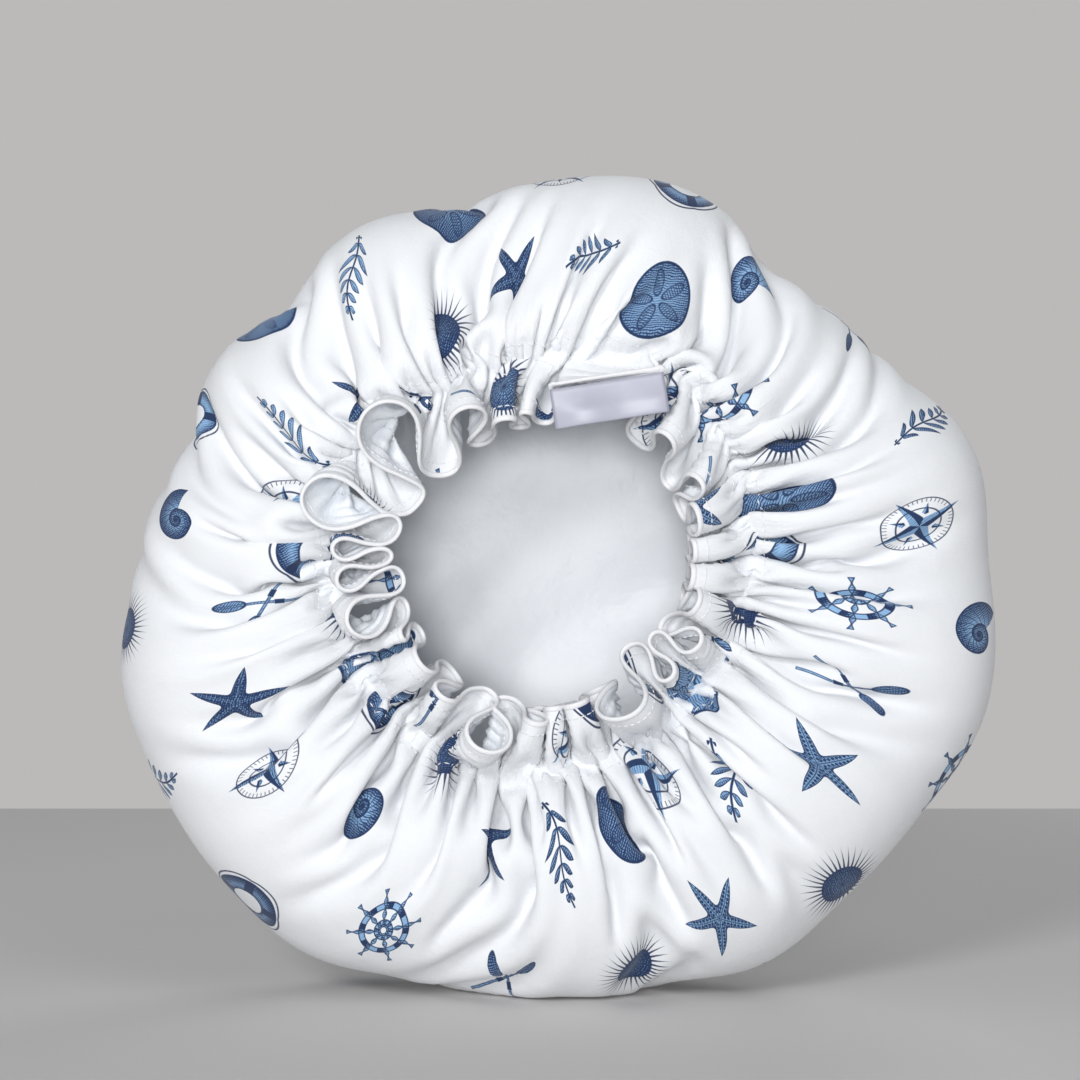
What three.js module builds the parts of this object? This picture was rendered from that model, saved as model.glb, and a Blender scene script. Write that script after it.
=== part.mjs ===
// A lined shower cap with a gathered, frilled mouth, standing on the floor on its flattened rim.
// The mouth faces -Y, +X is to the viewer's right and +Z is up. Lengths are in millimetres.
// Two round cloths, a printed shell outside and a waterproof lining inside, are seamed together
// along the frill's edge. An elastic band in the stitched channel between them gathers the mouth.
import * as THREE from "three";

// Crown: its outline seen from the front, and how full it is from front to back.
const crownRadius = 155;
const floorDrop = 149.5; // crown centre down to the floor
const rimBulge = 44; // radial reach of the round rim
const topHalfDepth = 31;
const bottomHalfDepth = 46;
const backDome = 7;
const frontPuff = 10; // how far the front panel swells forward
const puffRise = 6; // how far the fullest of its main folds stands out of that swell
const leanDegrees = 4;

// Mouth: the elastic's ring, a little off the crown's centre.
const mouthRadius = 77;
const mouthShiftX = -7;
const mouthShiftZ = 6;
const mouthDepth = 33; // in front of the crown's mid-plane

// Cloth and elastic.
const shellThickness = 0.8;
const liningThickness = 0.6;
const layerGap = 0.5;
const elasticWidth = 7;
const elasticThickness = 1.2;
const elasticPlay = 0.35; // free space on each face and edge of the elastic
const channelSeam = 2.5; // from the elastic's room to each stitched edge of the channel

// Frill and its edge, where each cloth is turned in and lies double.
const frillWidth = 22;
const frillFlareDegrees = 36; // how far the frill leans out of the mouth's plane
const turnedEdge = 3;
const turnedEdgeSlope = 1; // length over which the cloth swells to its double thickness

// Gathers: each fold of the front panel runs over the channel into one lobe of the frill.
const lobeCount = 16;
const lobePhaseDegrees = 12;
const panelFoldRise = 3.8;
const channelFoldRise = 2.2;
const lobeRise = 12;
const lobeOverlapShare = 0.1; // how far a lobe's sides lean over, as a share of its pitch
const lobeCrowdingShare = 0.12; // lobes are wide at the label and crowded opposite it
const rimFoldShare = 0.12; // what is left of a panel fold on the round rim

// Label: a folded tape, sewn into the frill's edge by its ends.
const labelWidth = 40;
const labelDrop = 13.5;
const labelTape = 0.45;
const labelFoldGap = 0.5;
const labelShiftX = 16;
const labelShiftZ = 64.5;
const labelDepth = 51; // sewn edge in front of the crown's mid-plane
const labelTiltDegrees = 9;
const labelMargin = 2; // the frill's edge stays straight so far past the label's ends
const labelFade = 12; // and returns to its lobes over this length
const labelClearance = 0.8; // from its folded thickness to the frill's edge

// Fineness of the mesh.
const stepsPerLobe = 7;
const foldTurnSteps = 6;

const fullTurn = 2 * Math.PI;
const quarterTurn = Math.PI / 2;
const radians = (degrees) => THREE.MathUtils.degToRad(degrees);
const mix = THREE.MathUtils.lerp;
const ease = (t) => THREE.MathUtils.smoothstep(t, 0, 1);

// The crown's outline: [degrees from +X, radius as a share of crownRadius]. Taut stretches
// between folds make it a rounded polygon, fuller at the bottom than at the top.
const outlineShares = [
  [4, 1.02],
  [17, 1.035],
  [24, 0.995],
  [33, 0.93],
  [46, 0.885],
  [57, 0.905],
  [68, 0.97],
  [80, 0.945],
  [96, 0.94],
  [106, 0.925],
  [121, 0.955],
  [134, 0.917],
  [150, 0.95],
  [157, 0.932],
  [172, 0.965],
  [190, 1.045],
  [208, 1.06],
  [224, 1.055],
  [238, 1.058],
  [247, 0.995],
  [258, 0.985],
  [272, 0.968],
  [284, 0.97],
  [298, 1.02],
  [316, 0.995],
  [328, 1.01],
  [340, 1.062],
  [352, 1.038],
];

// The front panel's main folds, ridges and valleys: [degrees from +X, share of puffRise].
const puffShares = [
  [4, -0.4],
  [16, 0.25],
  [30, -0.4],
  [42, 0.25],
  [57, -0.35],
  [82, 0.95],
  [102, -0.95],
  [120, 0.35],
  [134, -0.75],
  [148, 0.35],
  [160, -0.5],
  [172, 0.2],
  [182, -0.25],
  [194, 0.4],
  [208, -0.3],
  [220, 0.35],
  [234, -0.2],
  [248, 0.45],
  [260, -0.25],
  [272, 0.65],
  [286, -0.15],
  [296, 0.15],
  [306, -0.3],
  [320, 0.65],
  [336, -0.55],
  [350, 0.3],
];

// The elastic's ring, pulled out of round by the folds: [degrees, share of mouthRadius].
const mouthShares = [
  [0, 0.99],
  [24, 1.03],
  [45, 1.06],
  [61, 1.08],
  [76, 1.03],
  [92, 0.95],
  [110, 0.93],
  [130, 0.96],
  [150, 1.03],
  [180, 1],
  [225, 1.01],
  [249, 1.04],
  [290, 1],
  [317, 0.975],
  [338, 0.99],
];

// How high the frill's lobes stand: [degrees, share of lobeRise].
const lobeShares = [
  [10, 0.75],
  [35, 1],
  [105, 0.85],
  [150, 1],
  [195, 1],
  [220, 0.75],
  [243, 1],
  [272, 0.6],
  [300, 0.75],
  [322, 1],
  [345, 0.7],
];

// The value at an angle of a smooth closed curve through a table of [degrees, share].
function shareAt(table, angle) {
  const modulo = THREE.MathUtils.euclideanModulo;
  const degrees = modulo(THREE.MathUtils.radToDeg(angle), 360);
  const next = table.findIndex((row) => row[0] > degrees);
  const row = (step) => table[modulo((next < 0 ? 0 : next) + step, table.length)];
  const turn = (from, to) => modulo(to - from, 360);
  const [before, first, second, after] = [row(-2), row(-1), row(0), row(1)];
  const span = turn(first[0], second[0]);
  const t = turn(first[0], degrees) / span;
  const startSlope = ((second[1] - before[1]) * span) / turn(before[0], second[0]);
  const endSlope = ((after[1] - first[1]) * span) / turn(first[0], after[0]);
  const blend = t * t * (3 - 2 * t);
  const bends = t * (1 - t) * ((1 - t) * startSlope - t * endSlope);
  return mix(first[1], second[1], blend) + bends;
}

// Places lie across the crown's mid-plane and then forward of it, towards the viewer.
const forward = new THREE.Vector3(0, -1, 0);

function across(angle, radius) {
  return new THREE.Vector3(radius * Math.cos(angle), 0, radius * Math.sin(angle));
}

function place(point, depth) {
  return point.clone().addScaledVector(forward, depth);
}

const halfDepthAt = (angle) => mix(bottomHalfDepth, topHalfDepth, (1 + Math.sin(angle)) / 2);
const meanHalfDepth = (topHalfDepth + bottomHalfDepth) / 2;
const elasticRoom = elasticWidth + 2 * elasticPlay;
const channelWidth = elasticRoom + 2 * channelSeam;
const mouthCentre = new THREE.Vector3(mouthShiftX, 0, mouthShiftZ);

// The crown's outline moved inwards by `reach`.
function crownAt(angle, reach) {
  return across(angle, crownRadius * shareAt(outlineShares, angle) - reach);
}

// The elastic's ring moved inwards by `inset`.
function mouthAt(angle, inset) {
  return across(angle, mouthRadius * shareAt(mouthShares, angle) - inset).add(mouthCentre);
}

const labelCentre = place(new THREE.Vector3(labelShiftX, 0, labelShiftZ), labelDepth);
const labelAlong = across(radians(labelTiltDegrees), 1);
const labelAngle = Math.atan2(labelShiftZ - mouthShiftZ, labelShiftX - mouthShiftX);

// Where the frill's free edge runs before its lobes are added. The label holds it straight:
// `hold` falls from 1 at the label to 0 beside it.
function frillEdge(angle) {
  const flare = radians(frillFlareDegrees);
  const inset = channelWidth / 2 + frillWidth * Math.cos(flare);
  const point = place(mouthAt(angle, inset), mouthDepth + frillWidth * Math.sin(flare));
  const fromLabel = THREE.MathUtils.euclideanModulo(labelAngle - angle + Math.PI, fullTurn);
  const along = (fromLabel - Math.PI) * (mouthRadius - inset);
  const beyond = (Math.abs(along) - labelWidth / 2 - labelMargin) / labelFade;
  const hold = 1 - ease(beyond);
  const straight = labelCentre.clone().addScaledVector(labelAlong, along);
  return { point: point.lerp(straight, hold), hold };
}

// Zones of the cloth from the crown's centre to the frill's edge. A station is a zone and a
// share of the way through it.
const BACK = 0;
const RIM = 1;
const PANEL = 2;
const CHANNEL = 3;
const FRILL = 4;

// How far the front swells forward, and how strong its main folds are, from the rim over the
// panel and the channel to the frill's edge: [zone plus share of the way through it, share].
const frontSwellShares = [
  [1.6, 0],
  [1.84, 0.26],
  [2, 0.5],
  [2.25, 0.8],
  [2.5, 1],
  [2.75, 1],
  [3, 0.9],
  [4, 0.5],
  [5, 0],
];
const mainFoldShares = [
  [1.2, 0],
  [1.67, 0.8],
  [2, 1],
  [2.5, 0.8],
  [2.8, 0.3],
  [3, 0],
];

// The value of such a table at a station of the cloth.
function alongCloth(table, zone, share) {
  const at = zone + share;
  const next = table.findIndex((row) => row[0] > at);
  if (next === 0) return table[0][1];
  if (next < 0) return table.at(-1)[1];
  const [before, after] = [table[next - 1], table[next]];
  return mix(before[1], after[1], (at - before[0]) / (after[0] - before[0]));
}

// The middle of the two cloths without its gathers.
function unfolded(angle, zone, share) {
  const halfDepth = halfDepthAt(angle);
  const forwardSwell = frontPuff * alongCloth(frontSwellShares, zone, share);
  if (zone === BACK) {
    const point = crownAt(angle, rimBulge).multiplyScalar(share);
    return place(point, -mix(meanHalfDepth + backDome, halfDepth, share * share));
  }
  if (zone === RIM) {
    const turn = mix(-quarterTurn, quarterTurn, share);
    const point = crownAt(angle, rimBulge * (1 - Math.cos(turn)));
    return place(point, halfDepth * Math.sin(turn) + forwardSwell);
  }
  if (zone === PANEL) {
    const point = crownAt(angle, rimBulge).lerp(mouthAt(angle, -channelWidth / 2), share);
    return place(point, mix(halfDepth, mouthDepth, ease(share)) + forwardSwell);
  }
  if (zone === CHANNEL) {
    const inset = mix(-channelWidth, channelWidth, share) / 2;
    return place(mouthAt(angle, inset), mouthDepth + forwardSwell);
  }
  const start = place(mouthAt(angle, channelWidth / 2), mouthDepth);
  return place(start.lerp(frillEdge(angle).point, share), forwardSwell);
}

function foldRise(angle, zone, share) {
  if (zone === BACK) return 0;
  if (zone === RIM) return panelFoldRise * rimFoldShare * ease(2 * share - 1);
  if (zone === PANEL) return panelFoldRise * mix(rimFoldShare, 1, ease(share));
  if (zone === CHANNEL) return mix(panelFoldRise, channelFoldRise, share);
  return mix(channelFoldRise, lobeRise * shareAt(lobeShares, angle), share);
}

// The gathers rise along the cloth's normal, and the lobes' sides also lean over each other.
// Under the label's sewn edge the turned edge has no lobes.
const slopeStep = 1e-3;
const swellShare = 1 - (turnedEdge + turnedEdgeSlope) / frillWidth;
const doubleShare = 1 - turnedEdge / frillWidth;

function folded(angle, zone, share) {
  const point = unfolded(angle, zone, share);
  const rise = foldRise(angle, zone, share);
  const mainRise = puffRise * alongCloth(mainFoldShares, zone, share);
  if (rise === 0 && mainRise === 0) return point;
  const back = Math.max(share - slopeStep, 0);
  const on = Math.min(share + slopeStep, 1);
  const round = unfolded(angle + slopeStep, zone, share)
    .sub(unfolded(angle - slopeStep, zone, share))
    .normalize();
  const inwards = unfolded(angle, zone, on).sub(unfolded(angle, zone, back)).normalize();
  const normal = new THREE.Vector3().crossVectors(round, inwards).normalize();
  const fromLabel = angle - labelAngle;
  const phase =
    lobeCount * (angle - lobeCrowdingShare * Math.sin(fromLabel)) + radians(lobePhaseDegrees);
  const crowding = 1 - lobeCrowdingShare * Math.cos(fromLabel);
  const pitch = (fullTurn * mouthRadius) / (lobeCount * crowding);
  const free = zone === FRILL ? 1 - frillEdge(angle).hold * Math.min(share / swellShare, 1) : 1;
  const overlap = zone === FRILL ? lobeOverlapShare * pitch * share : 0;
  return point
    .addScaledVector(normal, free * rise * Math.cos(phase) + mainRise * shareAt(puffShares, angle))
    .addScaledVector(round, free * overlap * Math.sin(2 * phase));
}

// The cap leans back, and what would reach below the floor lies flat on it.
const lean = new THREE.Matrix4().makeRotationX(-radians(leanDegrees));
const lift = new THREE.Vector3(0, 0, floorDrop);
const shellReach = layerGap / 2 + shellThickness;

function standing(angle, zone, share) {
  const point = folded(angle, zone, share).applyMatrix4(lean).add(lift);
  point.z = Math.max(point.z, shellReach);
  return point;
}

// Rows of points round the cap, with half or a quarter of the points where it is smooth.
const finePoints = lobeCount * stepsPerLobe;
const rimPoints = finePoints / 2;
const backPoints = rimPoints / 2;
const roomShare = channelSeam / channelWidth;
const stations = [
  { points: 1, zone: BACK, share: 0 },
  { points: backPoints, zone: BACK, share: 0.7 },
  { points: rimPoints, zone: RIM, share: 0.03 },
  { points: rimPoints, zone: RIM, share: 0.21 },
  { points: rimPoints, zone: RIM, share: 0.37 },
  { points: rimPoints, zone: RIM, share: 0.52 },
  { points: rimPoints, zone: RIM, share: 0.67 },
  { points: finePoints, zone: RIM, share: 0.84 },
  { points: finePoints, zone: PANEL, share: 0.3 },
  { points: finePoints, zone: PANEL, share: 0.65 },
  { points: finePoints, zone: CHANNEL, share: 0 },
  { points: finePoints, zone: CHANNEL, share: roomShare, parted: true },
  { points: finePoints, zone: CHANNEL, share: 1 - roomShare, parted: true },
  { points: finePoints, zone: CHANNEL, share: 1 },
  { points: finePoints, zone: FRILL, share: 0.45 },
  { points: finePoints, zone: FRILL, share: swellShare },
  { points: finePoints, zone: FRILL, share: doubleShare, doubled: true },
  { points: finePoints, zone: FRILL, share: 1, doubled: true },
];

// Triangles between two rows of a surface, where the second row has as many points as the
// first or some times more. The points of a row follow its start.
function bridge(few, fewStart, many, manyStart) {
  const ratio = many / few;
  const half = Math.ceil(ratio / 2);
  const triangles = [];
  for (let i = 0; i < few; i += 1) {
    const left = fewStart + i;
    const right = fewStart + ((i + 1) % few);
    const fine = (j) => manyStart + ((i * ratio + j) % many);
    for (let j = 0; j < ratio; j += 1) {
      triangles.push([j < half ? left : right, fine(j), fine(j + 1)]);
    }
    if (few > 1) triangles.push([left, fine(half), right]);
  }
  return triangles;
}

// An open surface through rows of points.
function surface(rows) {
  const starts = rows.map((_, row) => rows.slice(0, row).flat().length);
  const triangles = [];
  for (let row = 1; row < rows.length; row += 1) {
    const last = row - 1;
    triangles.push(...bridge(rows[last].length, starts[last], rows[row].length, starts[row]));
  }
  return { points: rows.flat(), triangles, starts };
}

// A solid between two such surfaces, closed along their open edges.
function solidBetween(below, above) {
  const under = surface(below);
  const over = surface(above);
  const shift = under.points.length;
  const triangles = [
    ...under.triangles,
    ...over.triangles.map(([a, b, c]) => [a + shift, c + shift, b + shift]),
  ];
  const around = above.at(-1).length;
  triangles.push(...bridge(around, under.starts.at(-1), around, over.starts.at(-1) + shift));
  if (above[0].length > 1) triangles.push(...bridge(around, shift, around, 0));
  const geometry = new THREE.BufferGeometry();
  geometry.setFromPoints([...under.points, ...over.points]);
  geometry.setIndex(triangles.flat());
  geometry.computeVertexNormals();
  return geometry;
}

// The middle of the cloths at every station, and for each point the way out of the cap that
// keeps the facets round it parallel: a mitre, found by letting each facet pull in turn.
const mitrePasses = 60;
const mitreLimit = 1.8;
const middle = stations.map(({ points, zone, share }) =>
  Array.from({ length: points }, (_, i) => standing((fullTurn * i) / points, zone, share)),
);
const outwards = mitres(middle);

function mitres(rows) {
  const { points, triangles, starts } = surface(rows);
  const ways = points.map(() => new THREE.Vector3());
  const facets = triangles.map((corners) => {
    const [a, b, c] = corners.map((corner) => points[corner]);
    const normal = new THREE.Triangle(a, c, b).getNormal(new THREE.Vector3());
    for (const corner of corners) ways[corner].add(normal);
    return { corners, normal };
  });
  for (const way of ways) way.normalize();
  for (let pass = 0; pass < mitrePasses; pass += 1) {
    for (const { corners, normal } of facets) {
      for (const corner of corners) {
        const short = 1 - normal.dot(ways[corner]);
        ways[corner].addScaledVector(normal, short / 2);
      }
    }
  }
  for (const way of ways) way.clampLength(1, mitreLimit);
  return rows.map((row, i) => ways.slice(starts[i], starts[i] + row.length));
}

// The points of one station moved outwards by `offset` and past the frill's edge by `beyond`.
// Under the floor they are pressed flat, each layer on the one below it.
function layer(row, offset, beyond = 0) {
  return middle[row].map((point, i) => {
    const moved = point.clone().addScaledVector(outwards[row][i], offset);
    if (beyond > 0) {
      const onward = point.clone().sub(middle[row - 1][i]).normalize();
      moved.addScaledVector(onward, beyond);
    }
    moved.z = Math.max(moved.z, shellReach - offset);
    return moved;
  });
}

// One cloth of the cap. Its face next to the other cloth leaves room for the elastic, and its
// edge is turned in and lies double. `side` is 1 for the shell and -1 for the lining.
const parting = elasticThickness / 2 + elasticPlay;

function clothGeometry(side, thickness) {
  const sheet = (layers) =>
    stations.map(({ parted, doubled }, row) => {
      const near = parted ? parting : layerGap / 2;
      const filled = layers * thickness * (doubled ? 2 : 1);
      return layer(row, side * (near + filled));
    });
  const sheets = side > 0 ? [sheet(0), sheet(1)] : [sheet(1), sheet(0)];
  const nose = layer(stations.length - 1, side * (layerGap / 2 + thickness), thickness);
  return solidBetween([...sheets[0], nose], sheets[1]);
}

// The elastic: a flat band joined into a loop, between the parted rows of the channel.
function elasticGeometry() {
  const start = stations.findIndex(({ parted }) => parted);
  const edge = elasticPlay / elasticRoom;
  const band = (share, offset) =>
    middle[start].map((point, i) => {
      const way = outwards[start][i].clone().lerp(outwards[start + 1][i], share);
      return point.clone().lerp(middle[start + 1][i], share).addScaledVector(way, offset);
    });
  const face = (offset) => [band(edge, offset), band(1 - edge, offset)];
  return solidBetween(face(-elasticThickness / 2), face(elasticThickness / 2));
}

// The label's tape, folded into a U that is open at its sewn ends, with its bottom round.
function labelGeometry() {
  const inner = labelFoldGap / 2;
  const outer = inner + labelTape;
  const foldCentre = outer - labelDrop;
  const section = new THREE.Shape();
  section.moveTo(-outer, 0);
  section.absarc(0, foldCentre, outer, Math.PI, fullTurn, false);
  section.lineTo(outer, 0);
  section.lineTo(inner, 0);
  section.absarc(0, foldCentre, inner, fullTurn, Math.PI, true);
  section.lineTo(-inner, 0);
  section.closePath();
  const geometry = new THREE.ExtrudeGeometry(section, {
    depth: labelWidth,
    bevelEnabled: false,
    curveSegments: foldTurnSteps,
  });
  return geometry.translate(0, 0, -labelWidth / 2);
}

function cloth(color, roughness) {
  return new THREE.MeshStandardMaterial({ color, roughness, metalness: 0 });
}

function piece(name, geometry, material) {
  const mesh = new THREE.Mesh(geometry, material);
  mesh.name = name;
  return mesh;
}

// The label hangs plumb from its sewn edge, its length along X of its own group.
function hungLabel() {
  const label = piece("label", labelGeometry(), cloth(0xd9dce8, 0.4));
  const ahead = shellThickness + labelClearance + labelFoldGap / 2 + labelTape;
  label.position.copy(place(labelCentre, ahead).applyMatrix4(lean).add(lift));
  const alongWay = labelAlong.clone().applyMatrix4(lean);
  const thicknessWay = new THREE.Vector3(0, 0, 1).cross(alongWay).normalize();
  const upWay = new THREE.Vector3().crossVectors(alongWay, thicknessWay);
  const basis = new THREE.Matrix4().makeBasis(thicknessWay, upWay, alongWay);
  label.quaternion.setFromRotationMatrix(basis);
  return label;
}

const assembly = new THREE.Group();
assembly.add(piece("outer_shell", clothGeometry(1, shellThickness), cloth(0xf2f3f8, 0.85)));
assembly.add(piece("lining", clothGeometry(-1, liningThickness), cloth(0xeff3fa, 0.45)));
assembly.add(piece("elastic_band", elasticGeometry(), cloth(0xe9e9ea, 0.9)));
assembly.add(hungLabel());

// The origin is at the middle of the foot's level, below the centre of the cap's bounds.
const bounds = new THREE.Box3().setFromObject(assembly, true);
const centre = bounds.getCenter(new THREE.Vector3());
assembly.position.set(-centre.x, -centre.y, -bounds.min.z);

const showerCap = new THREE.Group();
showerCap.add(assembly);

export default showerCap;
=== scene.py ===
"""A lined cloth shower cap, gathered on elastic, that stands on its rim, mouth to the viewer."""
import math
from functools import partialmethod

import bmesh
import bpy
import numpy as np
from mathutils import Matrix, Vector


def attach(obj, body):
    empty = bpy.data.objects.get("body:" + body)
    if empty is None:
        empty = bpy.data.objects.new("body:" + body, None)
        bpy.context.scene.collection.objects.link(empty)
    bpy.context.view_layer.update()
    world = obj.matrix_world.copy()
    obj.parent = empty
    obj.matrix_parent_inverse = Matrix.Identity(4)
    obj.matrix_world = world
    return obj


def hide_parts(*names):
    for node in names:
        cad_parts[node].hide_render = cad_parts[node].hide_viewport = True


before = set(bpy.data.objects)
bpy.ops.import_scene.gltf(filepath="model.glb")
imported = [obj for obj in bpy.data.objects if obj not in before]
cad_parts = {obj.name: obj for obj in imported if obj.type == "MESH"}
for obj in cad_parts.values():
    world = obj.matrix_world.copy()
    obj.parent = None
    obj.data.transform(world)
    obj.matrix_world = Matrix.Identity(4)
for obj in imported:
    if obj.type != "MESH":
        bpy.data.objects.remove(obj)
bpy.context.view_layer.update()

full_turn = 2 * math.pi

# Sizes of the cut cloth, in millimetres
disc_radius = 308.0
channel_inset = 27.0  # from the cut edge to the elastic's middle
still_radius = 98.0  # the flat back inside this isn't folded
ring_step = 2.5  # between the rings of the cloth that is settled
columns = 720  # points in a ring

# Sizes of the standing cap, in millimetres
crown_radius = 155.0
floor_drop = 149.5
rim_bulge = 44.0
top_half_depth = 34.0
bottom_half_depth = 49.0
back_dome = 5.0
front_puff = 8.0
lean = math.radians(4)
slack_centre = (-4.0, -30.0)  # where the disc's middle lies on the back
mouth_radius = 75.0
mouth_centre = (-7.0, 6.0)
mouth_depth = 33.0
frame_shift = (0.013, 8.28)  # sideways and in depth, from the crown's middle to the frame
fold_reach = 7.5  # how far the channel's pleats stand off the elastic
fold_spacing = 2.4  # least distance between two folds of the cloth
slack_from = 70.0  # further in than this, the back takes up what length is to spare
flare_share = 0.4  # the part of the frill over which it turns forward
curl_share = 0.35  # where on the frill its edge starts to turn back
lobes_from, lobes_over = 2, 14  # past the channel, where the frill's lobes come in
pleat_stray = 1.7  # how far a pleat strays from its even place, in degrees

# Samples of the smooth profile: back, edge of the crown, panel and frill
back_samples, edge_samples, panel_samples, frill_samples = 60, 90, 40, 40

# Outline of the crown and of the mouth: degrees, share of the radius
outline_shares = [
    (4, 1.02), (17, 1.035), (24, 0.995), (33, 0.93), (46, 0.885), (57, 0.905), (68, 0.97),
    (80, 0.945), (96, 0.94), (106, 0.925), (121, 0.955), (134, 0.917), (150, 0.95), (157, 0.932),
    (172, 0.965), (190, 1.045), (208, 1.06), (224, 1.055), (238, 1.058), (247, 0.995), (258, 0.985),
    (272, 0.968), (284, 0.97), (298, 1.02), (316, 0.995), (328, 1.01), (340, 1.062), (352, 1.038),
]
mouth_shares = [
    (0, 0.99), (24, 1.03), (45, 1.06), (61, 1.08), (76, 1.03), (92, 0.95), (110, 0.93),
    (130, 0.96), (150, 1.03), (180, 1.0), (225, 1.01), (249, 1.04), (290, 1.0), (317, 0.975),
    (338, 0.99),
]
# How far the frill turns forward from the panel, in degrees, round the mouth
frill_flare = [
    (0, 58), (12, 54), (25, 44), (38, 38), (55, 42), (72, 50), (92, 46), (106, 44), (124, 48),
    (140, 54), (160, 64), (180, 66), (195, 62), (222, 46), (245, 54), (268, 54), (290, 52),
    (315, 54), (340, 58),
]
# How far its edge turns back in again, in degrees
frill_curl = [
    (0, 75), (15, 60), (28, 15), (40, 30), (55, 20), (63, 0), (82, 0), (92, 40), (106, 50),
    (118, 30), (128, 10), (140, 0), (195, 0), (210, 30), (222, 50), (240, 30), (254, 0),
    (264, 40), (272, 70), (288, 60), (302, 30), (315, 0), (328, 0), (338, 50), (348, 75),
]
# How much cloth the frill's edge holds, round the mouth: little where it lies in open flaps,
# and within the limits below the table
edge_fullness = [
    (0, 1.1), (11, 1.2), (25, 0.8), (38, 0.7), (48, 1.0), (54, 0.6), (59, 0.2), (83, 0.2),
    (89, 0.7), (96, 0.9), (106, 0.55), (115, 0.9), (124, 0.7), (134, 0.8), (149, 0.8), (160, 1.1),
    (180, 1.3), (192, 1.2), (205, 0.9), (222, 0.8), (238, 0.9), (254, 0.8), (265, 1.2), (278, 1.2),
    (302, 0.8), (314, 1.0), (326, 0.8), (340, 1.2), (350, 1.2),
]
least_fullness, most_fullness = 0.15, 2

# Creases between the large puffs of the panel, and between the lobes of the frill, in degrees
puff_creases = [4, 30, 57, 104, 134, 160, 182, 208, 233, 258, 287, 305, 337]
lobe_creases = [
    5, 17, 31, 48, 91, 99, 114, 133, 158, 175, 183, 192, 206, 214, 232, 245, 262, 271, 279, 290,
    312, 322, 334, 345, 355,
]
pleat_count = 52

# Where the label is sewn, in the part's frame, in millimetres and degrees
label_width = 40.0
label_pivot = np.array([16.013, -40.395, 217.561])
label_axis = np.array([0.987688, 0.010912, 0.156053])
label_angle = 70.5
edge_above_pivot = 2.4
edge_behind_pivot = 1.1
seam_spare = 2  # sewn cloth beyond each end of the label

# How the cloth settles, in millimetres and steps
settling_steps = 1500
puff_push, weight_push = 0.006, 0.012  # per step, outwards and down
push_grows, seam_closes = 300, 500  # steps until they act in full
guide_every, part_every = 4, 8  # steps between two uses of the guide, two partings of folds
speed_kept, longest_move = 0.96, 1.5  # from step to step
relaxings = 2  # in each step
ring_firmness, ray_firmness, bias_firmness = (0.5, 0.1), (0.5, 0.25), (0.25, 0.08)  # pull, push
rows_parted = 18  # rows behind the channel whose folds are kept apart, with all in front
floor_gap = 0.8  # how high the middle of the two cloths stays above the floor


def eased(share):
    share = np.clip(share, 0, 1)
    return share * share * (3 - 2 * share)


def smooth_curve(at, value, slope, x, i):
    """The cubic curve through the values with the slopes, at x, which lies after knot i."""
    gap = at[i + 1] - at[i]
    s = (x - at[i]) / gap
    return (
        (2 * s**3 - 3 * s**2 + 1) * value[i]
        + (s**3 - 2 * s**2 + s) * gap * slope[i]
        + (3 * s**2 - 2 * s**3) * value[i + 1]
        + (s**3 - s**2) * gap * slope[i + 1]
    )


def round_table(table, angles):
    """Reads a table of (degrees, value) at the angles, smoothly and round the turn."""
    rows = np.array(table, float)
    at = np.radians(rows[:, 0])
    at = np.concatenate([at - full_turn, at, at + full_turn])
    value = np.tile(rows[:, 1], 3)
    x = np.mod(angles, full_turn)
    return smooth_curve(at, value, np.gradient(value, at), x, np.searchsorted(at, x) - 1)


def crease_count(creases, angles):
    """How many creases lie before each angle, as a smooth count that is whole at each crease."""
    at = np.radians(np.asarray(creases, float))
    n = len(at)
    at = np.concatenate([at - full_turn, at, at + full_turn])
    count = np.arange(-n, 2 * n).astype(float)
    rate = 1 / np.diff(at)
    slope = np.empty(len(at))
    slope[1:-1] = 2 * rate[1:] * rate[:-1] / (rate[1:] + rate[:-1])
    slope[0], slope[-1] = rate[0], rate[-1]
    return smooth_curve(at, count, slope, angles, np.searchsorted(at, angles, side="right") - 1)


class Meander:
    """A wave of even arc length that takes up a given excess of cloth, as gathered cloth does."""

    def __init__(self, steps=128, levels=60, steepest=2.15, fine_steps=2048):
        fine = np.linspace(0, 1, fine_steps + 1)
        self.phase = np.linspace(0, 1, steps + 1)
        self.along = np.zeros((levels, steps + 1))
        self.aside = np.zeros((levels, steps + 1))
        self.excess = np.zeros(levels)
        for level, swing in enumerate(np.linspace(0, steepest, levels)):
            heading = swing * np.sin(full_turn * fine)
            x, y = (
                np.concatenate([[0], np.cumsum(part[1:] + part[:-1])]) / (2 * fine_steps)
                for part in (np.cos(heading), np.sin(heading))
            )
            self.excess[level] = 1 / x[-1]
            self.along[level] = np.interp(self.phase, fine, x - fine * x[-1])
            self.aside[level] = np.interp(self.phase, fine, y - y.mean())

    def shifts(self, excess, count, length):
        """Shift along the ring and aside from it, at a phase of count, for waves of that length."""
        level = np.interp(excess, self.excess, np.arange(len(self.excess)))
        i = np.clip(level.astype(int), 0, len(self.excess) - 2)
        f = level - i
        place = np.mod(count, 1) * (len(self.phase) - 1)
        j = np.clip(place.astype(int), 0, len(self.phase) - 2)
        g = place - j

        def read(table):
            low = (1 - g) * table[i, j] + g * table[i, j + 1]
            high = (1 - g) * table[i + 1, j] + g * table[i + 1, j + 1]
            return ((1 - f) * low + f * high) * length

        return read(self.along), read(self.aside)


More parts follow.
